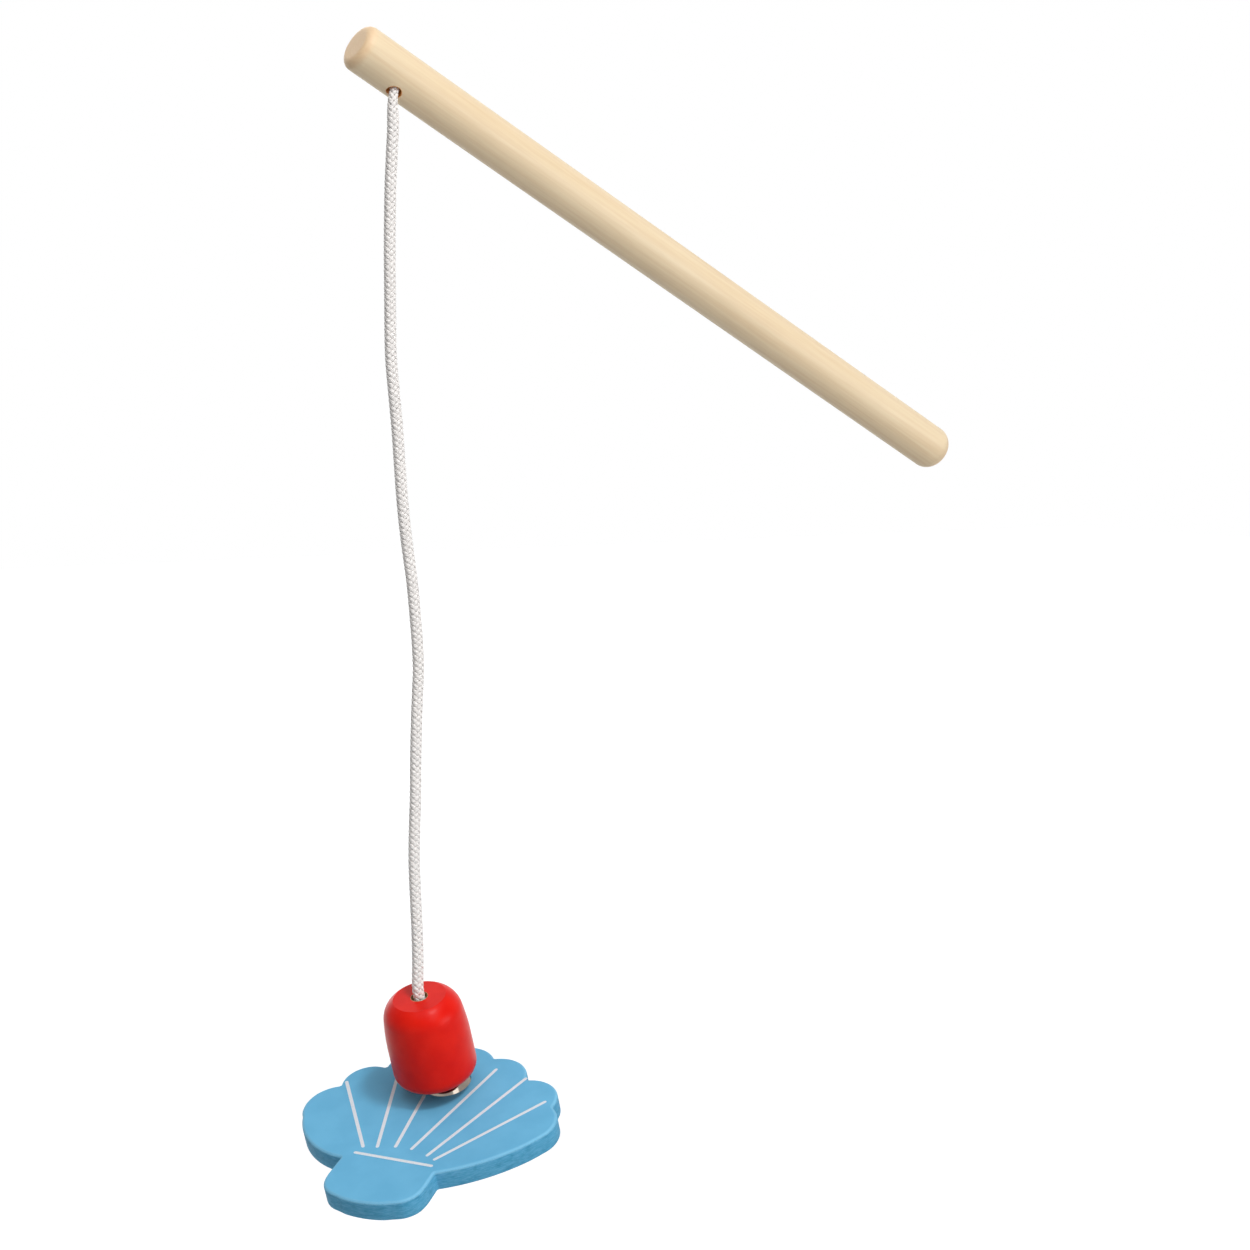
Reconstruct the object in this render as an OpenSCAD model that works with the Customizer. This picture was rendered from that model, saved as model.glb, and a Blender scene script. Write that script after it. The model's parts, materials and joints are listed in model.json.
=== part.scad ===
// Magnetic fishing game: a dowel rod with a cord, a red bead that holds a magnet,
// and a flat scallop shell with a steel stud that hangs from the magnet.
// Millimetres, +Z up. The origin is on the rod's axis, in the middle of the hand grip.

/* [Rod] */
// Diameter of the dowel
rod_d = 11.6; // [10:0.2:16]
// Length of the dowel
rod_len = 204.8; // [160:0.5:260]
// Distance from the butt end to the middle of the hand grip
grip_from_butt = 45; // [35:1:60]
// Angle at which the rod is held, tip up
rod_tilt = 28.5; // [20:0.5:35]
// Rounding of the tip's edge
tip_round = 2.2; // [1:0.1:4]
// Rounding of the butt's edge
butt_round = 4.2; // [2:0.1:4.6]
// Diameter of the blind cord hole
cord_hole_d = 3.7; // [3.4:0.1:5]
// Depth of the cord hole below the rod's surface
cord_hole_depth = 8.5; // [6:0.1:9]
// Distance from the tip to the cord hole
cord_hole_from_tip = 12.8; // [10:0.1:20]
// Turn of the cord hole round the rod, from straight down
cord_hole_roll = 24.5; // [0:0.5:60]

/* [Cord] */
// Diameter of the braided cord
cord_d = 3; // [2.4:0.1:3.4]
// Height of the cord's first bend over the rod's surface
bend_out = 1.8; // [1.8:0.1:4]
// Height of the cord's last bend over the bead's top
neck_rise = 2; // [1.8:0.1:4]
// Heading of the upright plane that the slack cord lies in
line_heading = -34.7; // [-60:0.1:0]
// Running gap between two stretches of cord at a bend
bend_gap = 0.3; // [0.2:0.05:0.5]

/* [Bead] */
// Largest diameter of the bead
bead_d = 20.6; // [17:0.1:26]
// Length of the bead
bead_len = 23; // [20:0.5:32]
// Diameter of the flat on the bead's top
bead_flat_d = 13; // [10:0.2:15]
// Radius of the shoulder between the flat and the side
bead_shoulder_r = 6.2; // [4:0.1:9]
// Rounding of the bead's lower edge
bead_low_round = 3.4; // [1:0.1:3.6]
// Radius of the barrel curve of the upper side
barrel_r = 58; // [40:1:200]
// Distance from the top to the bead's widest place
barrel_drop = 13; // [10:0.5:15]
// Diameter of the cord's bore
bead_bore_d = 4.1; // [3.8:0.1:6]
// Depth at which the bore opens into the knot's chamber, less in a short bead
knot_drop = 10.6; // [8:0.1:12]
// Diameter of the knot's chamber
chamber_d = 9; // [8.4:0.1:10]
// Angle at which the bead and its catch hang out of plumb
lean = 22.8; // [0:0.1:30]
// Heading of the low side of the leaning bead
lean_heading = -149.2; // [-180:0.1:180]

/* [Magnet] */
// Diameter of the magnet disc
magnet_d = 12; // [10.6:0.1:13]
// Thickness of the magnet disc
magnet_h = 4; // [3:0.1:5]
// Chamfer of the magnet's edges
magnet_chamfer = 0.3; // [0.1:0.05:0.5]
// Side clearance of the magnet in its seat
seat_gap = 0.1; // [0.05:0.01:0.2]
// Gap between the magnet and the stud it holds
hold_gap = 0.15; // [0.1:0.01:0.3]

/* [Catch] */
// Thickness of the shell
shell_h = 5.3; // [4:0.1:8]
// Easing of the shell's edges
edge_round = 0.7; // [0.3:0.1:1.2]
// Diameter of the stud's dome
dome_d = 11.8; // [10:0.2:16]
// Height of the stud's dome
dome_h = 3.3; // [2.4:0.1:4]
// Thickness of the stud's sheet steel
dome_wall = 0.5; // [0.3:0.05:0.7]
// Diameter of the stud's nail
nail_d = 1.6; // [1.2:0.1:2]
// Length of nail in the shell
nail_len = 4; // [2.5:0.1:4.6]
// Diameter of the nail's head
nail_head_d = 5.6; // [4:0.1:7]
// Clearance round the nail and its head
nail_gap = 0.05; // [0.02:0.01:0.1]
// Offset of the stud from the bead's axis, across
stud_across = 1.1; // [-3:0.1:3]
// Offset of the stud from the bead's axis, uphill
stud_uphill = 2; // [-3:0.1:3]

/* [Hidden] */
$fn = 96;
cut = 1;

rod_r = rod_d / 2;
cord_r = cord_d / 2;
bead_r = bead_d / 2;
tip_x = grip_from_butt - rod_len;
hole_x = tip_x + cord_hole_from_tip;
swing_out = rod_r + bend_out;

// The slack cord, as distances across and down from the bend at the rod, in its own plane
upper_route = [[0, 0], [0.1, 6], [-0.2, 12], [-0.6, 20], [-0.8, 28], [-0.9, 36], [-0.9, 44],
               [-0.9, 52], [-0.8, 60], [-0.2, 68], [0.5, 76], [1, 84], [1.5, 92], [2.1, 99], [2.9, 106]];
lower_route = [[2.9, 106], [3.8, 113], [4.5, 121], [5, 128], [5.2, 134], [4.9, 141], [4.6, 149],
               [4.4, 157], [4.3, 165], [4, 173], [3.9, 181], [4.2, 190], [4.5, 198], [4.6, 205],
               [4.5, 211.5]];
cord_sides = 8;

// Places of the cord's bends in the part's frame
function rod_to_row(p) = [p.x * cos(rod_tilt) + p.z * sin(rod_tilt), p.y,
                          -p.x * sin(rod_tilt) + p.z * cos(rod_tilt)];
swing_pivot = rod_to_row([hole_x, -swing_out * sin(cord_hole_roll), -swing_out * cos(cord_hole_roll)]);
function line_to_row(p) = swing_pivot + [p[0] * cos(line_heading), p[0] * sin(line_heading), -p[1]];
function last(list) = list[len(list) - 1];
tilt_pivot = line_to_row(last(lower_route));

// Distance from the last bend down to the shell's face, and the knot's own sizes
catch_drop = neck_rise + bead_len + hold_gap + dome_h;
knot_turn_r = 2.2;
knot_pitch = 2.6;
knot_len = 2 * knot_pitch + cord_d;
knot_gap = 0.2;
bore_len = min(knot_drop, bead_len - magnet_h - knot_len - knot_gap);

// The bead's shoulder: an arc that lies against the barrel curve and ends at the flat's rim
barrel_centre = [bead_r - barrel_r, bead_len - barrel_drop];
flat_rim = [bead_flat_d / 2, bead_len];
rim_away = norm(flat_rim - barrel_centre);
rim_dir = (flat_rim - barrel_centre) / rim_away;
arc_away = barrel_r - bead_shoulder_r;
arc_along = (pow(arc_away, 2) - pow(bead_shoulder_r, 2) + pow(rim_away, 2)) / (2 * rim_away);
arc_aside = sqrt(pow(arc_away, 2) - pow(arc_along, 2));
shoulder_centre = barrel_centre + arc_along * rim_dir + arc_aside * [rim_dir[1], -rim_dir[0]];
shoulder_z = barrel_centre[1] + (shoulder_centre[1] - barrel_centre[1]) * barrel_r / arc_away;

// The shell's outline, measured from the stud: each lobe is its centre and its radius
lobes = [[-24, -14, 8.5], [-20.7, -3.4, 6.7], [-11.4, 4.3, 7.4], [0.5, 6.4, 8.5],
         [10.7, 3.5, 8.5], [22.3, -3.3, 8.3], [25.6, -11.4, 8.5]];
left_side = [-11.5, -11.7, 20.6];
left_sector = [[-11.5, -14], [-40, -14], [-40, -45], [-6, -45], [-6, -26]];
right_side = [-6.6, 8.6, 46.5];
right_sector = [[25.6, -11.4], [38, -24], [38, -50], [6, -50], [6, -26]];
hinge_corners = [[-6.5, -39.2, 6.6], [6.4, -39.3, 6.7]];
hinge_foot = [0.4, -20.1, 27];
hinge_sector = [[-6.5, -39.2], [-6.5, -60], [6.4, -60], [6.4, -39.3]];
hinge_neck = [[-13.1, -39.2], [-12.7, -26], [12.7, -26], [13.1, -39.3]];
dome_r = (pow(dome_d / 2, 2) + pow(dome_h, 2)) / (2 * dome_h);
nail_head_z = dome_h - dome_wall - 1.4;

// Frames
module in_rod() rotate([0, rod_tilt, 0]) children();
module in_cord_hole() in_rod() translate([hole_x, 0, 0]) rotate([-cord_hole_roll, 0, 0]) children();
module in_bead() translate(tilt_pivot) rotate([0, lean, lean_heading])
    translate([0, 0, -neck_rise]) children();
module in_catch() in_bead() translate([0, 0, neck_rise - catch_drop]) rotate([0, 0, 90])
    translate([stud_across, stud_uphill, 0]) children();

// A block of the half plane beside the axis, with its two outer corners rounded
module turned_profile(r, h, low, high, flat_r) {
    translate([0, low]) square([r, h - low - high]);
    square([r - low, h - high]);
    translate([r - low, low]) circle(low);
    translate([0, h - high]) square([flat_r, high]);
    translate([flat_r, h - high]) circle(high);
}

module turned(r, h, low, high) rotate_extrude() intersection() {
    turned_profile(r, h, low, high, r - high);
    square([r, h]);
}

// The points of a cord ring of a radius, square to the cord's direction
function cord_ring(centre, along, r) = let(
    side = [-sin(line_heading), cos(line_heading), 0],
    front = cross(side, along)
) [for (k = [0 : cord_sides - 1]) let(a = 360 * k / cord_sides)
    centre + r * (cos(a) * side + sin(a) * front)];

function unit(v) = v / norm(v);

// A stretch of cord: hollow end round the bend before it, round end at the bend after it
function cord_rings(route) = let(
    p = [for (q = route) line_to_row(q)],
    n = len(p) - 1,
    start = unit(p[1] - p[0]),
    finish = unit(p[n] - p[n - 1]),
    cup = cord_r + bend_gap
) concat(
    [cord_ring(p[0] + start * cup, start, cord_r * 0.25),
     cord_ring(p[0] + start * cup * 0.87, start, cord_r * 0.66),
     cord_ring(p[0] + start * cup * 0.75, start, cord_r)],
    [for (i = [1 : n - 1]) cord_ring(p[i], unit(p[i + 1] - p[i - 1]), cord_r)],
    [for (a = [0, 30, 55, 76]) cord_ring(p[n] + finish * cord_r * sin(a), finish, cord_r * cos(a))]
);

module cord_tube(route) {
    rings = cord_rings(route);
    n = len(rings);
    polyhedron(
        points = [for (ring = rings) each ring],
        faces = concat(
            [[for (k = [0 : cord_sides - 1]) k]],
            [for (i = [0 : n - 2], k = [0 : cord_sides - 1]) let(j = (k + 1) % cord_sides)
                [i * cord_sides + j, i * cord_sides + k, (i + 1) * cord_sides + k, (i + 1) * cord_sides + j]],
            [[for (k = [cord_sides - 1 : -1 : 0]) (n - 1) * cord_sides + k]]
        )
    );
}

module rod() color("burlywood") difference() {
    in_rod() translate([tip_x, 0, 0]) rotate([0, 90, 0]) turned(rod_r, rod_len, tip_round, butt_round);
    in_cord_hole() translate([0, 0, -rod_r - cut]) cylinder(d = cord_hole_d, h = cord_hole_depth + cut);
}

module cord_root() color("white") in_cord_hole() {
    translate([0, 0, -swing_out]) cylinder(r = cord_r, h = swing_out + cord_hole_depth - rod_r);
    translate([0, 0, -swing_out]) sphere(cord_r);
}

module cord_upper() color("white") cord_tube(upper_route);

module cord_lower() color("white") cord_tube(lower_route);

// The knot is two turns of cord round the cord's own end
module cord_knot() color("white") in_bead() {
    difference() {
        translate([0, 0, -bore_len - knot_len])
            cylinder(r = cord_r, h = knot_len + bore_len + neck_rise);
        translate([0, 0, neck_rise]) sphere(cord_r + bend_gap);
    }
    for (turn = [0, 1]) translate([0, 0, -bore_len - bend_gap - cord_r - turn * knot_pitch])
        rotate_extrude() translate([knot_turn_r, 0]) circle(cord_r);
}

// The bead's side up to the shoulder: rounded below, straight, then the barrel curve
module bead_side() intersection() {
    union() {
        translate([0, bead_low_round]) square([bead_r, shoulder_z - bead_low_round]);
        square([bead_r - bead_low_round, shoulder_z]);
        translate([bead_r - bead_low_round, bead_low_round]) circle(bead_low_round);
    }
    union() {
        translate(barrel_centre) circle(barrel_r, $fn = 360);
        square([bead_r, barrel_centre[1]]);
    }
}

module bead_profile() intersection() {
    union() {
        bead_side();
        translate(shoulder_centre) circle(bead_shoulder_r);
        square([shoulder_centre[0], bead_len]);
    }
    square([bead_r, bead_len]);
}

module bead() color("red") in_bead() difference() {
    translate([0, 0, -bead_len]) rotate_extrude() bead_profile();
    translate([0, 0, -bead_len]) cylinder(d = bead_bore_d, h = bead_len + cut);
    translate([0, 0, -bead_len]) cylinder(d = chamber_d, h = bead_len - bore_len);
    translate([0, 0, -bead_len - cut]) cylinder(r = magnet_d / 2 + seat_gap, h = magnet_h + cut);
}

module magnet() color("dimgray") in_bead() translate([0, 0, -bead_len]) rotate_extrude() polygon([
    [0, 0], [magnet_d / 2 - magnet_chamfer, 0], [magnet_d / 2, magnet_chamfer],
    [magnet_d / 2, magnet_h - magnet_chamfer], [magnet_d / 2 - magnet_chamfer, magnet_h], [0, magnet_h]]);

// A disc of the shell's board, at a place and of a radius, with eased edges
module board_disc(c) translate([c[0], c[1], -shell_h]) turned(c[2], shell_h, edge_round, edge_round);

module board_piece(outline) translate([0, 0, -shell_h]) linear_extrude(shell_h) polygon(outline);

module shell_board() {
    for (c = lobes) board_disc(c);
    board_piece(concat([for (c = lobes) [c[0], c[1]]], [[12, -30], [-12, -30]]));
    intersection() {
        board_disc(left_side);
        board_piece(left_sector);
    }
    intersection() {
        board_disc(right_side);
        board_piece(right_sector);
    }
    for (c = hinge_corners) board_disc(c);
    intersection() {
        board_disc(hinge_foot);
        board_piece(hinge_sector);
    }
    board_piece(hinge_neck);
}

module shell() color("steelblue") in_catch() difference() {
    shell_board();
    translate([0, 0, -nail_len - nail_gap]) cylinder(r = nail_d / 2 + nail_gap, h = nail_len + cut);
}

module stud_cap() color("silver") in_catch() rotate_extrude() intersection() {
    translate([0, dome_h - dome_r]) difference() {
        circle(dome_r, $fn = 360);
        circle(dome_r - dome_wall, $fn = 360);
    }
    square([dome_d / 2, dome_h]);
}

module stud_nail() color("gray") in_catch() {
    translate([0, 0, -nail_len]) cylinder(d = nail_d, h = nail_len + nail_head_z + dome_wall / 2);
    rotate_extrude() intersection() {
        translate([0, dome_h - dome_r]) circle(dome_r - dome_wall - nail_gap, $fn = 360);
        translate([0, nail_head_z]) square([nail_head_d / 2, dome_h]);
    }
}

rod();
cord_root();
cord_upper();
cord_lower();
cord_knot();
bead();
magnet();
shell();
stud_cap();
stud_nail();
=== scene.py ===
"""Looks for a toy fishing rod: bare dowel, braided cord, red magnet bead and a blue scallop shell.

Metres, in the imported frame: +Z up, origin on the rod's axis in the middle of the hand grip.
"""
import json
import math

import bpy
import numpy as np
from mathutils import Matrix, Vector


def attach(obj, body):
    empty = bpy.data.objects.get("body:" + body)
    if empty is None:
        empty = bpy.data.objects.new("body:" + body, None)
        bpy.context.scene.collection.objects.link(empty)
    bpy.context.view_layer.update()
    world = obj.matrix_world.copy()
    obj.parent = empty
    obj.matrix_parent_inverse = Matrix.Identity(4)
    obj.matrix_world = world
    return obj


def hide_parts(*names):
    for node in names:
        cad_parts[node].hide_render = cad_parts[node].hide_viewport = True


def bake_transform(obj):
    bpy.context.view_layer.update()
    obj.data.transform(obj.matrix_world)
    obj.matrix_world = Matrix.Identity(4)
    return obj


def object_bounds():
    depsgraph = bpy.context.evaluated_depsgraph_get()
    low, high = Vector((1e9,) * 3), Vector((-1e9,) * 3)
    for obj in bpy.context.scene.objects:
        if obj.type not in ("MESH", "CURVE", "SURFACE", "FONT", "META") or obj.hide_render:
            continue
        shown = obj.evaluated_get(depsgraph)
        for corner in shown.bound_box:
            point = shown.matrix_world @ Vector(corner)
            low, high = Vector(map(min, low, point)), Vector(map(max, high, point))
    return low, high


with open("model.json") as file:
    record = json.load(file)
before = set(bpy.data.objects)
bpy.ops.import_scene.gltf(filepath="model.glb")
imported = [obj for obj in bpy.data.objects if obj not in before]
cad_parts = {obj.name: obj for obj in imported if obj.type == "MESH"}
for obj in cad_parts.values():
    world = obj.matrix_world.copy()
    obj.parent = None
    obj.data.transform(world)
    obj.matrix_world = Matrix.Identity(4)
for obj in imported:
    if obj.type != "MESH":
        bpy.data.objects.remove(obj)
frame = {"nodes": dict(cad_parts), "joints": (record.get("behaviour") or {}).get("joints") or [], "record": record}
cad_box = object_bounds()

MM = 0.001
UP = Vector((0, 0, 1))

# Places and directions taken from the frame
joints = {j["name"]: j for j in frame["joints"]}
mounts = {m["name"]: m for m in frame["record"]["mounts"]}
swing_pivot = Vector(joints["line_swing"]["pos_m"])
bend_pivot = Vector(joints["line_bend"]["pos_m"])
tilt_pivot = Vector(joints["bead_tilt"]["pos_m"])
rod_dir = Vector(mounts["hand_grip"]["axis"]).normalized()
bead_up = Vector(joints["bead_spin"]["axis"]).normalized()
across = Vector(joints["bead_tilt"]["axis"]).normalized()
uphill = bead_up.cross(across)
hole_foot = rod_dir * swing_pivot.dot(rod_dir)
hole_dir = (swing_pivot - hole_foot).normalized()

# Sizes repeated from the part's source
ROD_D = 11.6 * MM
ROD_LEN = 204.8 * MM
GRIP_FROM_BUTT = 45 * MM
CORD_HOLE_D = 3.7 * MM
CORD_HOLE_DEPTH = 8.5 * MM
LINE_HEADING = math.radians(-34.7)
NECK_RISE = 2 * MM
BEAD_LEN = 23 * MM
BEAD_BORE_D = 4.1 * MM
KNOT_DROP = 10.6 * MM
HOLD_GAP = 0.15 * MM
DOME_H = 3.3 * MM
SHELL_H = 5.3 * MM
STUD_ACROSS = 1.1 * MM
STUD_UPHILL = 2 * MM

# The slack cord, in millimetres across and down from the bend at the rod
UPPER_ROUTE = [(0, 0), (0.1, 6), (-0.2, 12), (-0.6, 20), (-0.8, 28), (-0.9, 36), (-0.9, 44),
               (-0.9, 52), (-0.8, 60), (-0.2, 68), (0.5, 76), (1, 84), (1.5, 92), (2.1, 99), (2.9, 106)]
LOWER_ROUTE = [(2.9, 106), (3.8, 113), (4.5, 121), (5, 128), (5.2, 134), (4.9, 141), (4.6, 149),
               (4.4, 157), (4.3, 165), (4, 173), (3.9, 181), (4.2, 190), (4.5, 198), (4.6, 205), (4.5, 211.5)]

# The shell's outline in millimetres from the stud: discs as centre and radius, and sectors that bound them
LOBES = [(-24, -14, 8.5), (-20.7, -3.4, 6.7), (-11.4, 4.3, 7.4), (0.5, 6.4, 8.5),
         (10.7, 3.5, 8.5), (22.3, -3.3, 8.3), (25.6, -11.4, 8.5)]
LEFT_SIDE = (-11.5, -11.7, 20.6)
LEFT_SECTOR = [(-11.5, -14), (-40, -14), (-40, -45), (-6, -45), (-6, -26)]
RIGHT_SIDE = (-6.6, 8.6, 46.5)
RIGHT_SECTOR = [(25.6, -11.4), (38, -24), (38, -50), (6, -50), (6, -26)]
HINGE_CORNERS = [(-6.5, -39.2, 6.6), (6.4, -39.3, 6.7)]
HINGE_FOOT = (0.4, -20.1, 27)
HINGE_SECTOR = [(-6.5, -39.2), (-6.5, -60), (6.4, -60), (6.4, -39.3)]
HINGE_NECK = [(-13.1, -39.2), (-12.7, -26), (12.7, -26), (13.1, -39.3)]

# The printed lines in millimetres from the stud: outer end and inner end
RAYS = [((-26, -4.6), (-9.2, -27.7)), ((-14.7, 2.4), (-5.6, -27.1)), ((-5, 8), (-1.1, -26.2)),
        ((10.1, 6.9), (3.3, -26.3)), ((19.2, 4.7), (8.3, -27.9)), ((28, -3.2), (10.8, -29)),
        ((-10, -30.2), (11.1, -31.4))]
RAY_W = 0.85 * MM
RAY_END_POINTS = 7
INK_H = 0.03 * MM


def frame_matrix(origin, x, y, z):
    """The matrix of a local frame from its origin and axes."""
    m = Matrix.Identity(4)
    for column, axis in enumerate((x, y, z)):
        for row in range(3):
            m[row][column] = axis[row]
    m.translation = origin
    return m


rod_frame = frame_matrix(Vector(), rod_dir, Vector((0, 1, 0)), rod_dir.cross(Vector((0, 1, 0))))
bead_frame = frame_matrix(tilt_pivot, -uphill, across, bead_up)
catch_drop = NECK_RISE + BEAD_LEN + HOLD_GAP + DOME_H
stud_foot = tilt_pivot - bead_up * catch_drop + across * STUD_ACROSS + uphill * STUD_UPHILL
catch_frame = frame_matrix(stud_foot, across, uphill, bead_up)


# Camera, solved from the photograph's rod, cord and shell

CAMERA_AT = Vector((-0.4639, -0.57802, -0.00165))
CAMERA_AZIMUTH = math.radians(34.66)
CAMERA_PITCH = math.radians(5)
SENSOR_W = 36
PHOTO_W = 1250
FOCAL_PX = 2795

camera = bpy.data.objects.new("camera", bpy.data.cameras.new("camera"))
camera.data.sensor_fit = "HORIZONTAL"
camera.data.sensor_width = SENSOR_W
camera.data.lens = FOCAL_PX / PHOTO_W * SENSOR_W
camera.location = CAMERA_AT
camera.rotation_euler = (math.pi / 2 - CAMERA_PITCH, 0, -CAMERA_AZIMUTH)
bpy.context.scene.collection.objects.link(camera)
bpy.context.scene.camera = camera
view_right = Vector((math.cos(CAMERA_AZIMUTH), -math.sin(CAMERA_AZIMUTH), 0))
view_back = Vector((-math.sin(CAMERA_AZIMUTH), -math.cos(CAMERA_AZIMUTH), 0))


# Materials

def srgb(r, g, b):
    """A linear colour from display values of 0 to 255."""
    def linear(v):
        v /= 255
        return v / 12.92 if v <= 0.04045 else ((v + 0.055) / 1.055) ** 2.4
    return (linear(r), linear(g), linear(b), 1)


class Shader:
    """A node material: add() makes a node, sets its inputs and returns one of its outputs."""

    def __init__(self, name):
        self.material = bpy.data.materials.new(name)
        self.material.use_nodes = True
        self.tree = self.material.node_tree
        self.bsdf = self.tree.nodes["Principled BSDF"]

    def add(self, kind, inputs=(), out=0, **settings):
        """A new node's output, with its inputs filled and its settings made."""
        node = self.tree.nodes.new("ShaderNode" + kind)
        for key, value in settings.items():
            setattr(node, key, value)
        self.fill(node, dict(inputs))
        return node.outputs[out]

    def fill(self, node, inputs):
        """Links or sets a node's inputs."""
        for key, value in inputs.items():
            socket = node.inputs[key]
            if isinstance(value, bpy.types.NodeSocket):
                self.tree.links.new(value, socket)
            else:
                socket.default_value = value

    def surface(self, **inputs):
        """Sets the surface's inputs, with spaces in their names written as underscores."""
        self.fill(self.bsdf, {key.replace("_", " "): value for key, value in inputs.items()})

    def place(self, matrix):
        """Object coordinates in a local frame, in millimetres."""
        inverse = matrix.inverted()
        return self.add("Mapping", {
            "Vector": self.add("TexCoord", out=3), "Location": inverse.translation / MM,
            "Rotation": inverse.to_euler("XYZ"), "Scale": (1 / MM,) * 3})

    def scaled(self, vector, scale):
        """A vector stretched along its axes."""
        return self.add("VectorMath", {0: vector, 1: scale}, operation="MULTIPLY")

    def split(self, vector):
        """A vector's x, y and z."""
        node = self.tree.nodes.new("ShaderNodeSeparateXYZ")
        self.tree.links.new(vector, node.inputs[0])
        return node.outputs

    def noise(self, vector, scale=1.0, detail=3.0, rough=0.5):
        """Cloudy noise of about 0 to 1."""
        return self.add("TexNoise", {"Vector": vector, "Scale": scale, "Detail": detail, "Roughness": rough})

    def math(self, operation, a, b=0.0):
        """One operation on two values."""
        return self.add("Math", {0: a, 1: b}, operation=operation)

    def ramp(self, value, low, high, to_low=0.0, to_high=1.0):
        """A soft step from one level to another."""
        return self.add("MapRange", {0: value, 1: low, 2: high, 3: to_low, 4: to_high},
                        interpolation_type="SMOOTHSTEP")

    def mix(self, factor, a, b):
        """A blend of two colours."""
        node = self.tree.nodes.new("ShaderNodeMix")
        node.data_type = "RGBA"
        self.fill(node, {0: factor, 6: a, 7: b})
        return node.outputs[2]

    def bump(self, height, distance, strength=1.0):
        """A surface direction roughened by a height."""
        return self.add("Bump", {"Height": height, "Distance": distance, "Strength": strength})


def bare_wood():
    """Pale sanded beech: fine streaks along the rod, darker end grain and painted brown shade on the wall and rim
    of the hole.
    """
    s = Shader("bare_wood")
    local = s.place(rod_frame)
    streaks = s.noise(s.scaled(local, (0.035, 1.3, 1.3)), 1, 4, 0.6)
    flecks = s.noise(s.scaled(local, (0.16, 4.5, 4.5)), 1, 2)
    tone = s.noise(s.scaled(local, (0.012, 0.16, 0.16)), 1, 2)
    colour = s.mix(s.ramp(streaks, 0.3, 0.7), srgb(231, 205, 167), srgb(239, 217, 181))
    colour = s.mix(s.ramp(tone, 0.35, 0.65, 0, 0.35), colour, srgb(242, 224, 191))
    colour = s.mix(s.ramp(flecks, 0.62, 0.78, 0, 0.16), colour, srgb(214, 180, 140))
    x, y, z = s.split(local)
    tip = (GRIP_FROM_BUTT - ROD_LEN) / MM
    butt = GRIP_FROM_BUTT / MM
    ends = s.math("ADD", s.ramp(x, tip + 2.6, tip + 0.4), s.ramp(x, butt - 3.4, butt - 0.6))
    radius = s.math("SQRT", s.math("ADD", s.math("POWER", s.math("ADD", y, 2.5), 2), s.math("POWER", z, 2)))
    warp = s.noise(s.scaled(local, (0.3, 0.3, 0.3)), 1, 2)
    rings = s.math("SINE", s.math("MULTIPLY", s.math("ADD", radius, warp), 7.0))
    end_colour = s.mix(s.ramp(rings, -1, 1), srgb(240, 199, 153), srgb(243, 205, 161))
    colour = s.mix(s.math("MULTIPLY", ends, 0.6), colour, end_colour)
    hole_frame = frame_matrix(hole_foot, rod_dir, hole_dir.cross(rod_dir), hole_dir)
    hx, hy, hz = s.split(s.place(hole_frame))
    from_hole = s.math("SQRT", s.math("ADD", s.math("POWER", hx, 2), s.math("POWER", hy, 2)))
    rim = CORD_HOLE_D / 2 / MM
    # Painted shade: the hole's wall and rim are coloured brown to stand in for the shade inside the hole.
    hole_shade = s.math("MULTIPLY", s.ramp(from_hole, rim + 0.16, rim + 0.02), s.ramp(hz, 0, 1))
    colour = s.mix(hole_shade, colour, srgb(238, 164, 92))
    height = s.math("ADD", streaks, s.math("MULTIPLY", flecks, 0.6))
    s.surface(Base_Color=colour, Roughness=s.ramp(streaks, 0.2, 0.8, 0.5, 0.38), Specular_IOR_Level=0.4,
              Normal=s.bump(height, 0.03 * MM, 0.5))
    return s.material


def white_cord():
    """White braid: each strand is a few twisted yarns, with painted shade that greys it where it dips under its
    neighbour.
    """
    s = Shader("white_cord")
    uv = s.add("UVMap", uv_map="yarn")
    u, v, _ = s.split(uv)
    twist = s.math("ADD", s.math("MULTIPLY", u, 25.1), s.math("MULTIPLY", v, 4.2))
    yarn = s.math("SINE", twist)
    fuzz = s.noise(s.scaled(uv, (40, 9, 1)), 1, 2)
    # Painted shade: strands are greyed where they dip under their neighbours and the core is greyest, standing in
    # for the shade between strands.
    depth = s.add("Attribute", attribute_name="dip", out=2)
    colour = s.mix(s.ramp(depth, 0.35, 0.95), srgb(250, 246, 243), srgb(176, 163, 158))
    colour = s.mix(s.ramp(fuzz, 0.55, 0.85, 0, 0.2), colour, srgb(226, 220, 216))
    height = s.math("ADD", s.math("MULTIPLY", yarn, 0.6), fuzz)
    s.surface(Base_Color=colour, Roughness=0.8, Specular_IOR_Level=0.2,
              Sheen_Weight=0.25, Sheen_Roughness=0.5, Normal=s.bump(height, 0.05 * MM, 0.8))
    return s.material


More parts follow.
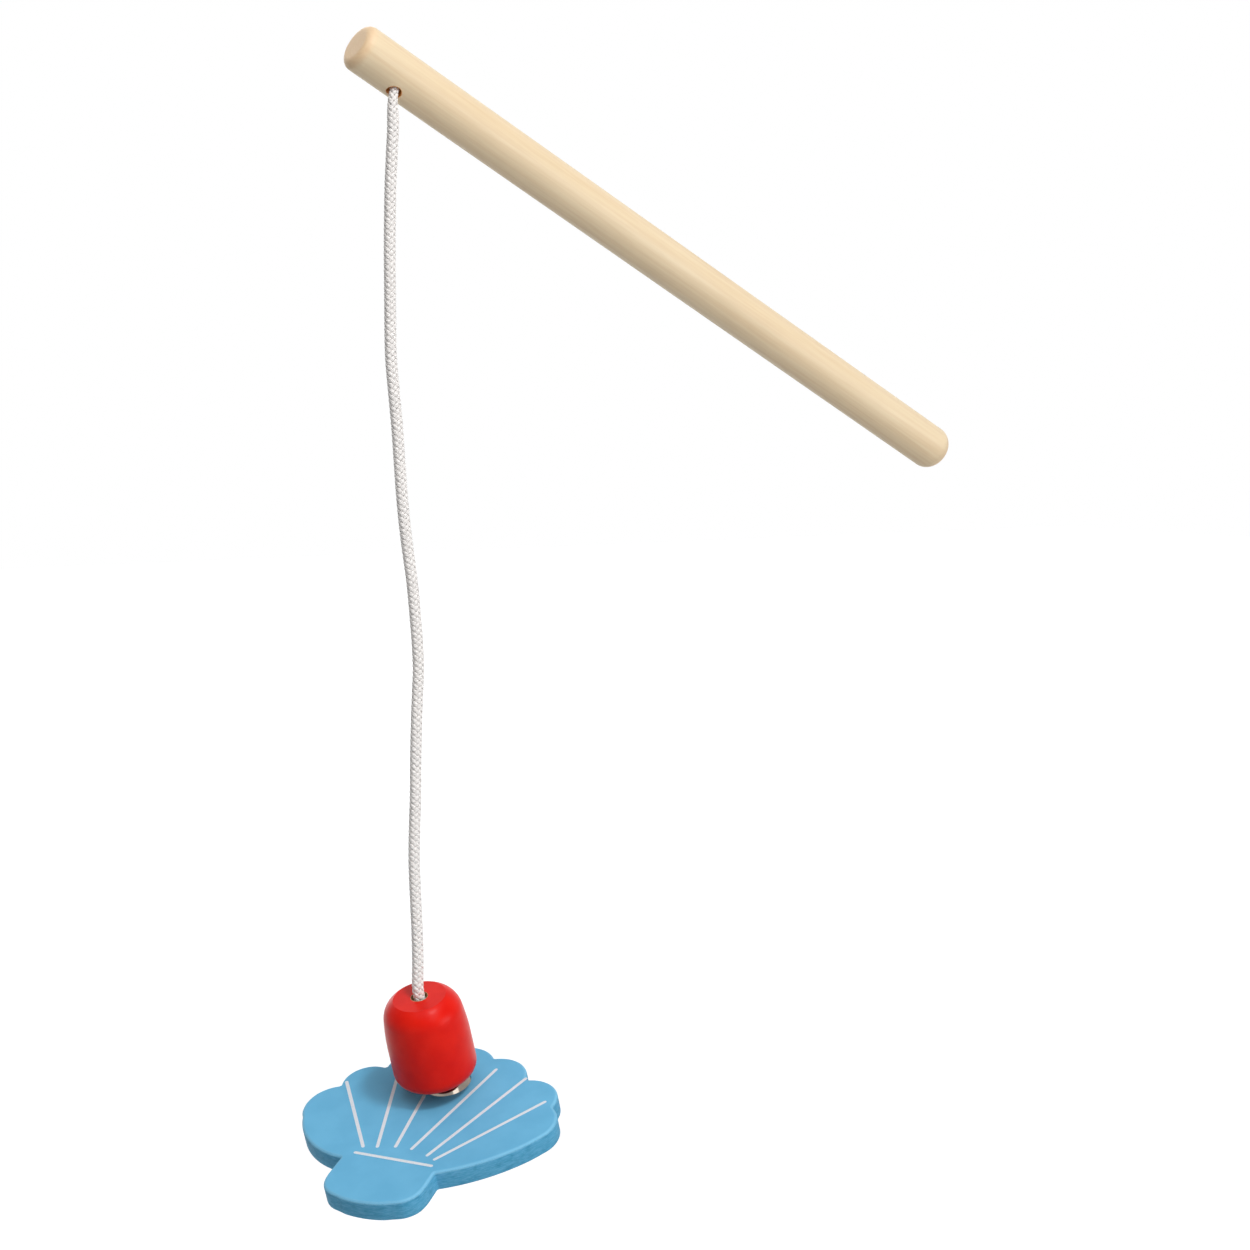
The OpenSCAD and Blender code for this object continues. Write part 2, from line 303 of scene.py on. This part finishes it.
def red_paint():
    """Satin red paint on the turned bead, with bare wood in its bore."""
    s = Shader("red_paint")
    local = s.place(bead_frame)
    x, y, z = s.split(local)
    radius = s.math("SQRT", s.math("ADD", s.math("POWER", x, 2), s.math("POWER", y, 2)))
    cloud = s.noise(s.scaled(local, (0.22, 0.22, 0.22)), 1, 3)
    peel = s.noise(s.scaled(local, (1.6, 1.6, 1.6)), 1, 2)
    turned = s.noise(s.scaled(local, (0.05, 0.05, 2.2)), 1, 2)
    paint = s.mix(s.ramp(cloud, 0.3, 0.7), srgb(230, 23, 10), srgb(238, 31, 15))
    bore = BEAD_BORE_D / 2 / MM
    grain = s.noise(s.scaled(local, (2.4, 2.4, 0.3)), 1, 3)
    wood = s.mix(s.ramp(grain, 0.3, 0.7), srgb(176, 134, 92), srgb(214, 178, 134))
    bare = s.ramp(radius, bore + 0.16, bore + 0.03)
    height = s.math("ADD", peel, s.math("MULTIPLY", turned, 0.8))
    s.surface(Base_Color=s.mix(bare, paint, wood), Roughness=s.ramp(peel, 0.2, 0.8, 0.28, 0.34),
              Specular_IOR_Level=0.13, Normal=s.bump(height, 0.02 * MM, 0.5))
    return s.material


def blue_paint():
    """Matte blue paint on sawn board: flat on the faces, streaked and deeper on the sawn edge, with a painted
    highlight along the rounded top edge.
    """
    s = Shader("blue_paint")
    local = s.place(catch_frame)
    cloud = s.noise(s.scaled(local, (0.12, 0.12, 0.12)), 1, 3)
    nap = s.noise(s.scaled(local, (3.2, 3.2, 3.2)), 1, 2)
    facing = s.add("VectorMath", {0: s.add("TexCoord", out=1), 1: bead_up}, out=1, operation="DOT_PRODUCT")
    edge = s.ramp(s.math("ABSOLUTE", facing), 0.75, 0.35)
    face = s.mix(s.ramp(cloud, 0.3, 0.7), srgb(107, 186, 227), srgb(114, 193, 233))
    fibre = s.noise(s.scaled(local, (0.5, 0.5, 4.2)), 1, 4, 0.65)
    blotch = s.noise(s.scaled(local, (0.45, 0.45, 0.8)), 1, 3)
    sawn = s.mix(s.ramp(fibre, 0.35, 0.68), srgb(78, 160, 200), srgb(104, 180, 218))
    sawn = s.mix(s.ramp(blotch, 0.52, 0.72, 0, 0.5), sawn, srgb(58, 138, 178))
    # Painted highlight: a lighter line along the rounded top edge, broken up by the nap.
    painted_edge_highlight = s.add("Attribute", attribute_name="eased", out=2)
    painted_edge_highlight = s.math("MULTIPLY", painted_edge_highlight, s.ramp(nap, 0.25, 0.6, 0.15, 0.5))
    colour = s.mix(painted_edge_highlight, s.mix(edge, face, sawn), srgb(146, 203, 232))
    saw_marks = s.math("MULTIPLY", s.math("MULTIPLY", fibre, edge), 3)
    height = s.math("ADD", s.math("MULTIPLY", nap, 0.25), saw_marks)
    s.surface(Base_Color=colour, Roughness=s.ramp(nap, 0.2, 0.8, 0.5, 0.6), Specular_IOR_Level=0.15,
              Normal=s.bump(height, 0.04 * MM, 0.7))
    return s.material


def white_ink():
    """Thin white print, a little broken by the board's nap."""
    s = Shader("white_ink")
    local = s.place(catch_frame)
    nap = s.noise(s.scaled(local, (2.6, 2.6, 2.6)), 1, 3)
    s.surface(Base_Color=s.mix(s.ramp(nap, 0.45, 0.8, 0, 0.6), srgb(234, 238, 244), srgb(196, 216, 232)),
              Roughness=0.6, Specular_IOR_Level=0.3)
    return s.material


def plated_steel():
    """Bright nickel plate with faint smudges and hairlines, darker and browner towards the rim as a painted dark
    reflection.
    """
    s = Shader("plated_steel")
    local = s.place(catch_frame)
    smudge = s.noise(s.scaled(local, (0.5, 0.5, 0.5)), 1, 3)
    hair = s.noise(s.scaled(local, (9, 0.6, 2)), 1, 2)
    x, y, _ = s.split(local)
    radius = s.math("SQRT", s.math("ADD", s.math("POWER", x, 2), s.math("POWER", y, 2)))
    crown = s.mix(s.ramp(smudge, 0.4, 0.7), srgb(226, 222, 218), srgb(208, 204, 200))
    # Painted reflection: the rim is darker and browner than the crown, standing in for the dark and red
    # surroundings that the dome reflects.
    rim = s.mix(s.ramp(smudge, 0.4, 0.7), srgb(150, 140, 130), srgb(136, 127, 118))
    s.surface(Base_Color=s.mix(s.ramp(radius, 2.4, 4.6), crown, rim), Metallic=1.0,
              Roughness=s.ramp(smudge, 0.35, 0.75, 0.06, 0.1), Normal=s.bump(hair, 0.004 * MM, 0.3))
    return s.material


def dark_metal(name, dark, light, rough, metallic):
    """Dull speckled metal for the magnet and the nail."""
    s = Shader(name)
    local = s.place(catch_frame)
    speckle = s.noise(s.scaled(local, (2.2, 2.2, 2.2)), 1, 4)
    s.surface(Base_Color=s.mix(s.ramp(speckle, 0.3, 0.7), dark, light), Metallic=metallic,
              Roughness=s.ramp(speckle, 0.2, 0.8, rough - 0.06, rough + 0.06),
              Normal=s.bump(speckle, 0.02 * MM, 0.5))
    return s.material


# Meshes

def mesh_object(name, verts, faces, material, smooth=True):
    """An object from points and faces, in the scene and with its material."""
    mesh = bpy.data.meshes.new(name)
    mesh.from_pydata([tuple(v) for v in verts], [], [tuple(f) for f in faces])
    mesh.materials.append(material)
    mesh.polygons.foreach_set("use_smooth", [smooth] * len(mesh.polygons))
    mesh.update()
    obj = bpy.data.objects.new(name, mesh)
    bpy.context.scene.collection.objects.link(obj)
    return obj


# The cord's centre line

BEND_R = 6.4 * MM
NECK_BEND_R = 9 * MM
CORD_STEP = 0.2 * MM
SPLINE_STEPS = 24

# Where the cord is cut into stretches, and distances along it near each bend
CUT_TOP = UPPER_ROUTE[7]
CUT_LOW = LOWER_ROUTE[7]
BEND_START = 1 * MM
SWING_SPREAD = 16 * MM
BEND_SPREAD = 30 * MM
TILT_SPREAD = 9 * MM

# The stopper knot: its turns, and the shares of the drop at which the cord leads into it
KNOT_TURNS = 2.2
KNOT_R = 2.7 * MM
KNOT_PITCH = 2.4 * MM
KNOT_START = 1.2 * MM
KNOT_POINTS = 40
KNOT_LEAD = (0.55, 0.8, 0.98)


def line_point(point):
    """A point of the route, across and down in millimetres, in the frame."""
    along = Vector((math.cos(LINE_HEADING), math.sin(LINE_HEADING), 0))
    return swing_pivot + (along * point[0] - UP * point[1]) * MM


def rounded_corner(corner, before, after, radius, steps=8):
    """Points of an arc that rounds a corner between two directions."""
    turn = before.angle(after)
    inward = (after - before * before.dot(after)).normalized()
    start = corner - before * radius * math.tan(turn / 2)
    centre = start + inward * radius
    return [centre + radius * (before * math.sin(a) - inward * math.cos(a))
            for a in np.linspace(0, turn, steps)]


def smooth_line(points, step):
    """A smooth curve through points, resampled at an even step."""
    p = np.array(points)
    t = np.r_[0, np.cumsum(np.linalg.norm(np.diff(p, axis=0), axis=1))]
    slope = np.gradient(p, t, axis=0)
    dense = []
    for i in range(len(p) - 1):
        h = t[i + 1] - t[i]
        u = np.linspace(0, 1, SPLINE_STEPS, endpoint=False)[:, None]
        dense.append((1 + 2 * u) * (1 - u) ** 2 * p[i] + u * (1 - u) ** 2 * h * slope[i]
                     + u * u * (3 - 2 * u) * p[i + 1] + u * u * (u - 1) * h * slope[i + 1])
    dense = np.vstack(dense + [p[-1:]])
    s = np.r_[0, np.cumsum(np.linalg.norm(np.diff(dense, axis=0), axis=1))]
    even = np.linspace(0, s[-1], int(s[-1] / step) + 1)
    return np.stack([np.interp(even, s, dense[:, k]) for k in range(3)], 1)


def cord_line():
    """From the bottom of the rod's hole, round the bend, down the slack line and into the bead."""
    route = [line_point(p) for p in UPPER_ROUTE + LOWER_ROUTE[1:]]
    first = (route[1] - route[0]).normalized()
    final = (route[-1] - route[-2]).normalized()
    points = [hole_foot - hole_dir * (CORD_HOLE_DEPTH - ROD_D / 2)]
    points += [hole_foot + hole_dir * ROD_D / 4]
    points += rounded_corner(route[0], hole_dir, first, BEND_R)
    points += route[1:-1]
    points += rounded_corner(route[-1], final, -bead_up, NECK_BEND_R)
    points += [tilt_pivot - bead_up * (NECK_RISE + KNOT_DROP * k) for k in (0.5, 1)]
    return smooth_line(points, CORD_STEP)


def carried_frames(line):
    """Directions along and square to a line that don't twist about it."""
    along = np.gradient(line, axis=0)
    along /= np.linalg.norm(along, axis=1)[:, None]
    side = np.zeros_like(line)
    side[0] = view_right
    for i in range(len(line)):
        side[i] = side[max(i - 1, 0)]
        side[i] -= along[i] * (side[i] @ along[i])
        side[i] /= np.linalg.norm(side[i])
    return along, side, np.cross(along, side)


# The braid: eight flat strands, half of them each way round, over one and under one
STRANDS_EACH_WAY = 4
BRAID_PITCH = 5.5 * MM
BRAID_PHASE = math.pi / 8
BRAID_R = 1.12 * MM
BRAID_WAVE = 0.14 * MM
STRAND_W = 1.06 * MM
STRAND_T = 0.42 * MM
STRAND_SIDES = 8
CORE_R = 1.0 * MM

# The hole nips the cord, which fills out again below it
NIP = 0.78
NIP_LEN = 7 * MM


def tube_faces(start, rings, sides):
    """Faces of a closed tube whose ring points are numbered from start."""
    quads = [(start + i * sides + k, start + i * sides + (k + 1) % sides,
              start + (i + 1) * sides + (k + 1) % sides, start + (i + 1) * sides + k)
             for i in range(rings - 1) for k in range(sides)]
    first = [tuple(start + k for k in reversed(range(sides)))]
    last = [tuple(start + (rings - 1) * sides + k for k in range(sides))]
    return quads + first + last


def strand(line, frames, travel, way, number, girth):
    """Ring points of one strand, and its dip under the others."""
    along, side, front = frames
    girth = girth[:, None]
    angle = way * 2 * math.pi * travel / BRAID_PITCH + 2 * math.pi * number / STRANDS_EACH_WAY
    rise = -way * np.cos(STRANDS_EACH_WAY * angle)
    angle = angle + BRAID_PHASE
    outward = np.cos(angle)[:, None] * side + np.sin(angle)[:, None] * front
    round_way = -np.sin(angle)[:, None] * side + np.cos(angle)[:, None] * front
    centre = line + outward * girth * (BRAID_R + BRAID_WAVE * rise)[:, None]
    lead = along * BRAID_PITCH + round_way * way * 2 * math.pi * BRAID_R
    lead /= np.linalg.norm(lead, axis=1)[:, None]
    width = np.cross(outward, lead)
    rings = [centre + girth * (outward * math.sin(a) * STRAND_T / 2 + width * math.cos(a) * STRAND_W / 2)
             for a in np.arange(STRAND_SIDES) * 2 * math.pi / STRAND_SIDES]
    return np.stack(rings, 1).reshape(-1, 3), np.repeat((1 - rise) / 2, STRAND_SIDES)


def braid(name, line, travel, material, frames=None, girth=None):
    """A stretch of braided cord along a line; travel keeps the weave in step from one stretch to the next."""
    frames = frames or carried_frames(line)
    girth = np.ones(len(line)) if girth is None else girth
    verts, faces, dips, yarn = [], [], [], []
    count = 0
    for way in (1, -1):
        for number in range(STRANDS_EACH_WAY):
            ring_points, dip = strand(line, frames, travel, way, number, girth)
            verts.append(ring_points)
            dips.append(dip)
            yarn.append(np.stack([np.tile(np.arange(STRAND_SIDES) / STRAND_SIDES, len(line)),
                                  np.repeat(travel / BRAID_PITCH * 2 * STRANDS_EACH_WAY, STRAND_SIDES)], 1))
            faces += tube_faces(count, len(line), STRAND_SIDES)
            count += len(ring_points)
    turn = np.arange(STRAND_SIDES) * 2 * math.pi / STRAND_SIDES
    round_core = (np.cos(turn)[None, :, None] * frames[1][:, None]
                  + np.sin(turn)[None, :, None] * frames[2][:, None])
    core = line[:, None] + CORE_R * girth[:, None, None] * round_core
    verts.append(core.reshape(-1, 3))
    # The core counts as fully dipped, so it takes the full painted shade.
    dips.append(np.ones(len(line) * STRAND_SIDES))
    yarn.append(np.zeros((len(line) * STRAND_SIDES, 2)))
    faces += tube_faces(count, len(line), STRAND_SIDES)
    obj = mesh_object(name, np.vstack(verts), faces, material)
    mesh = obj.data
    dip_values = np.concatenate(dips).astype(np.float32)
    mesh.attributes.new("dip", "FLOAT", "POINT").data.foreach_set("value", dip_values)
    corners = np.zeros(len(mesh.loops), np.int32)
    mesh.loops.foreach_get("vertex_index", corners)
    corner_yarn = np.vstack(yarn)[corners].astype(np.float32)
    mesh.uv_layers.new(name="yarn").data.foreach_set("uv", corner_yarn.ravel())
    return obj


def knot_line():
    """The stopper knot: the cord's end wound twice in the bead's chamber."""
    points = [tilt_pivot - bead_up * (NECK_RISE + KNOT_DROP * k) for k in KNOT_LEAD]
    for a in np.linspace(0, KNOT_TURNS * 2 * math.pi, KNOT_POINTS):
        grow = min(a / 2, 1)
        depth = NECK_RISE + KNOT_DROP + KNOT_START + KNOT_PITCH * a / (2 * math.pi)
        points.append(tilt_pivot - bead_up * depth
                      + (across * math.cos(a) + uphill * math.sin(a)) * KNOT_R * grow)
    return smooth_line(points, CORD_STEP)


def make_cord():
    """The cord in three stretches, cut apart at two points of the slack line, and its knot in the bead."""
    material = white_cord()
    line = cord_line()
    frames = carried_frames(line)
    travel = np.arange(len(line)) * CORD_STEP
    exit_point = hole_foot + hole_dir * ROD_D / 2
    past_hole = np.clip((travel - CORD_HOLE_DEPTH) / NIP_LEN, 0, 1)
    girth = NIP + (1 - NIP) * past_hole * past_hole * (3 - 2 * past_hole)

    def nearest(point):
        """The number of the line's point that lies nearest."""
        return int(np.argmin(np.linalg.norm(line - np.array(point), axis=1)))

    cut_top = nearest(line_point(CUT_TOP))
    cut_low = nearest(line_point(CUT_LOW))
    stretches = {
        "cord_top": (0, cut_top, "rod", "line_upper", swing_pivot - hole_dir * BEND_START,
                     swing_pivot - UP * SWING_SPREAD, ("cord_root", "cord_upper"), exit_point),
        "cord_middle": (cut_top, cut_low, "line_upper", "line_lower", bend_pivot + UP * BEND_SPREAD,
                        bend_pivot - UP * BEND_SPREAD, (), line[cut_top]),
        "cord_low": (cut_low, len(line) - 1, "line_lower", "stopper", tilt_pivot + UP * TILT_SPREAD,
                     tilt_pivot - bead_up * BEND_START, ("cord_lower",), line[cut_low]),
    }
    for name, (first, last, holder, mover, start, end, nodes, leaves) in stretches.items():
        span = slice(first, last + 1)
        piece = braid(name, line[span], travel[span], material, [f[span] for f in frames], girth[span])
        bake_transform(piece)
        if nodes:
            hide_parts(*nodes)
    end = knot_line()
    knot = braid("cord_stopper_knot", end, np.arange(len(end)) * CORD_STEP, material)
    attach(knot, "stopper")
    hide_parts("cord_knot")


# The shell's board

BOARD_POINTS = 540
EDGE_ROUND = 0.75 * MM
EDGE_STEPS = 5

# Where one arc of the outline runs smoothly into the next, in millimetres from the stud
ARC_JOINS = [(-32.5, -14), (31.6, -17.4), (-6.5, -45.8), (6.4, -46), (-13.1, -39.2), (13.1, -39.3)]
EASE_REACH = 1.8
EASE_TURNS = 14

# How the outline is searched for: from far out towards a middle point, in ever finer steps
OUTLINE_MIDDLE = (-0.6, -20)
OUTLINE_REACH = 45.0
COARSE_STEP = 0.5
FINEST_STEP = 0.005


def in_polygon(outline, x, y):
    """True where a point lies inside a closed outline."""
    inside = False
    for (x1, y1), (x2, y2) in zip(outline, outline[1:] + outline[:1]):
        if (y1 > y) != (y2 > y) and x < (x2 - x1) * (y - y1) / (y2 - y1) + x1:
            inside = not inside
    return inside


def in_disc(disc, x, y):
    """True where a point lies inside a disc."""
    return (x - disc[0]) ** 2 + (y - disc[1]) ** 2 <= disc[2] ** 2


def in_shell(x, y):
    """True where a point lies on the outer part of the board."""
    return (any(in_disc(d, x, y) for d in LOBES + HINGE_CORNERS) or in_polygon(HINGE_NECK, x, y)
            or any(in_disc(d, x, y) and in_polygon(sector, x, y) for d, sector in (
                (LEFT_SIDE, LEFT_SECTOR), (RIGHT_SIDE, RIGHT_SECTOR), (HINGE_FOOT, HINGE_SECTOR))))


def shell_outline():
    """The outline round a middle point: the last place on each ray that is inside the board."""
    middle = OUTLINE_MIDDLE
    outline = []
    for k in range(BOARD_POINTS):
        a = 2 * math.pi * k / BOARD_POINTS
        reach = OUTLINE_REACH
        step = COARSE_STEP
        while step > FINEST_STEP:
            while not in_shell(middle[0] + reach * math.cos(a), middle[1] + reach * math.sin(a)):
                reach -= step
            reach += step
            step /= 4
        outline.append((middle[0] + reach * math.cos(a), middle[1] + reach * math.sin(a)))
    outline = np.array(outline)
    near = np.min(np.linalg.norm(outline[:, None] - np.array(ARC_JOINS)[None], axis=2), axis=1)
    ease = np.clip(2 - near / EASE_REACH, 0, 1)[:, None]
    for turn in range(EASE_TURNS):
        softer = (np.roll(outline, 1, 0) + 2 * outline + np.roll(outline, -1, 0)) / 4
        outline = outline + (softer - outline) * (ease if turn else 1)
    return outline * MM


def make_shell(material):
    """One closed board with rounded edges all round its outline."""
    outline = shell_outline()
    ahead = np.roll(outline, -1, 0) - np.roll(outline, 1, 0)
    ahead /= np.linalg.norm(ahead, axis=1)[:, None]
    inward = np.stack([-ahead[:, 1], ahead[:, 0]], 1)
    levels = []
    for k in range(EDGE_STEPS + 1):
        a = k / EDGE_STEPS * math.pi / 2
        levels.append((EDGE_ROUND * (1 - math.sin(a)), -SHELL_H + EDGE_ROUND * (1 - math.cos(a))))
    levels += [(inset, -SHELL_H - z) for inset, z in reversed(levels)]
    verts, eased = [], []
    for inset, z in levels:
        ring = outline + inward * inset
        verts += [catch_frame @ Vector((x, y, z)) for x, y in ring]
        # Points on the rounded top edge, which the blue paint lightens as a painted highlight.
        at_top = z > -EDGE_ROUND * 1.01 and 0 < inset < EDGE_ROUND
        eased += [1.0 if at_top else 0.0] * BOARD_POINTS
    faces = tube_faces(0, len(levels), BOARD_POINTS)
    board = mesh_object("shell_board", verts, faces, material)
    for polygon in board.data.polygons:
        polygon.use_smooth = len(polygon.vertices) == 4
    board.data.attributes.new("eased", "FLOAT", "POINT").data.foreach_set("value", eased)
    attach(board, "catch")
    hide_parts("shell")
    return board


def make_rays(material):
    """Printed lines: flat strips with round ends, as thick as ink."""
    for number, (outer, inner) in enumerate(RAYS, 1):
        a, b = Vector(outer) * MM, Vector(inner) * MM
        lead = (b - a).normalized()
        rim = []
        for centre, facing in ((b, lead), (a, -lead)):
            for t in np.linspace(-math.pi / 2, math.pi / 2, RAY_END_POINTS):
                turned = facing * math.cos(t) + Vector((-facing.y, facing.x)) * math.sin(t)
                rim.append(centre + turned * RAY_W / 2)
        count = len(rim)
        verts = [catch_frame @ Vector((p.x, p.y, z)) for z in (-INK_H, INK_H) for p in rim]
        ray = mesh_object(f"ray_{number}", verts, tube_faces(0, 2, count), material, smooth=False)
        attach(ray, "catch")


def paint(node, material):
    """Gives a carried-over CAD node its finished material."""
    obj = frame["nodes"][node]
    obj.data.materials.clear()
    obj.data.materials.append(material)


make_cord()
make_shell(blue_paint())
make_rays(white_ink())
paint("rod", bare_wood())
paint("bead", red_paint())
paint("stud_cap", plated_steel())
paint("magnet", dark_metal("ferrite", srgb(46, 46, 49), srgb(66, 66, 70), 0.55, 0.3))
paint("stud_nail", dark_metal("nail_steel", srgb(140, 138, 134), srgb(170, 168, 164), 0.4, 1.0))


# Stage, lights and background

FLOOR_DROP = 0.06
FLOOR_SIZE = 6
FLOOR_LIFT = (0.62, 0.95)
FLOOR_LIFT_REACH = (0.3, 1.6)
FLOOR_GREY = (0.6, 0.6, 0.6, 1)
WHITE = (1, 1, 1, 1)
AMBIENT = 0.08

# Lamps by direction seen from the camera (right, up, towards it), then distance, size and watts
LAMPS = {
    "top_light": (0.0, 0.88, 0.46, 1.5, 1.8, 12),
    "key_light": (0.24, 0.79, 0.56, 1.7, 0.24, 9.5),
    "front_light": (0.4, 0.4, 0.82, 1.6, 0.7, 3.5),
    "side_light": (0.88, -0.06, 0.44, 1.6, 0.9, 11),
    "back_light": (-0.4, 0.35, -0.85, 1.8, 1.4, 7),
}


def seen_rays(tree):
    """One for camera, mirror and glass rays, none for the rays that light the toy."""
    path = tree.nodes.new("ShaderNodeLightPath")
    seen = path.outputs["Is Camera Ray"]
    for kind in ("Is Glossy Ray", "Is Transmission Ray"):
        either = tree.nodes.new("ShaderNodeMath")
        either.operation = "MAXIMUM"
        tree.links.new(seen, either.inputs[0])
        tree.links.new(path.outputs[kind], either.inputs[1])
        seen = either.outputs[0]
    return seen


def make_floor():
    """A pale floor under the toy, lifted to white where it is seen and more so further out."""
    middle = (cad_box[0] + cad_box[1]) / 2
    middle.z = cad_box[0].z - FLOOR_DROP
    material = bpy.data.materials.new("pale_floor")
    material.use_nodes = True
    tree = material.node_tree
    bsdf = tree.nodes["Principled BSDF"]
    bsdf.inputs["Base Color"].default_value = FLOOR_GREY
    bsdf.inputs["Roughness"].default_value = 0.9
    seen = seen_rays(tree)
    place = tree.nodes.new("ShaderNodeNewGeometry")
    reach = tree.nodes.new("ShaderNodeVectorMath")
    reach.operation = "DISTANCE"
    reach.inputs[1].default_value = middle
    tree.links.new(place.outputs["Position"], reach.inputs[0])
    level = tree.nodes.new("ShaderNodeMapRange")
    for key, value in zip((1, 2, 3, 4), FLOOR_LIFT_REACH + FLOOR_LIFT):
        level.inputs[key].default_value = value
    tree.links.new(reach.outputs["Value"], level.inputs[0])
    lift = tree.nodes.new("ShaderNodeMath")
    lift.operation = "MULTIPLY"
    tree.links.new(level.outputs[0], lift.inputs[1])
    tree.links.new(seen, lift.inputs[0])
    bsdf.inputs["Emission Color"].default_value = WHITE
    tree.links.new(lift.outputs[0], bsdf.inputs["Emission Strength"])
    half = FLOOR_SIZE / 2
    corners = [middle + Vector((x * half, y * half, 0)) for x, y in ((-1, -1), (1, -1), (1, 1), (-1, 1))]
    floor = mesh_object("floor", corners, [(0, 1, 2, 3)], material, smooth=False)


def make_world(strength):
    """White where it is seen, and a plain soft light on the toy."""
    world = bpy.data.worlds.new("studio")
    bpy.context.scene.world = world
    world.use_nodes = True
    tree = world.node_tree
    ambient = tree.nodes["Background"]
    ambient.inputs["Color"].default_value = WHITE
    ambient.inputs["Strength"].default_value = strength
    white = tree.nodes.new("ShaderNodeBackground")
    white.inputs["Color"].default_value = WHITE
    white.inputs["Strength"].default_value = 1
    mix = tree.nodes.new("ShaderNodeMixShader")
    tree.links.new(seen_rays(tree), mix.inputs[0])
    tree.links.new(ambient.outputs[0], mix.inputs[1])
    tree.links.new(white.outputs[0], mix.inputs[2])
    tree.links.new(mix.outputs[0], tree.nodes["World Output"].inputs["Surface"])


def softbox(name, right, up, towards, distance, size, watts):
    """An area light aimed at the middle of the toy, placed by directions seen from the camera."""
    middle = (cad_box[0] + cad_box[1]) / 2
    away = (view_right * right + UP * up + view_back * towards).normalized()
    light = bpy.data.lights.new(name, "AREA")
    light.shape = "SQUARE"
    light.size = size
    light.energy = watts
    lamp = bpy.data.objects.new(name, light)
    lamp.location = middle + away * distance
    lamp.rotation_euler = (-away).to_track_quat("-Z", "Y").to_euler()
    bpy.context.scene.collection.objects.link(lamp)


make_floor()
make_world(AMBIENT)
for lamp, setting in LAMPS.items():
    softbox(lamp, *setting)
bpy.context.scene.view_settings.view_transform = "Standard"
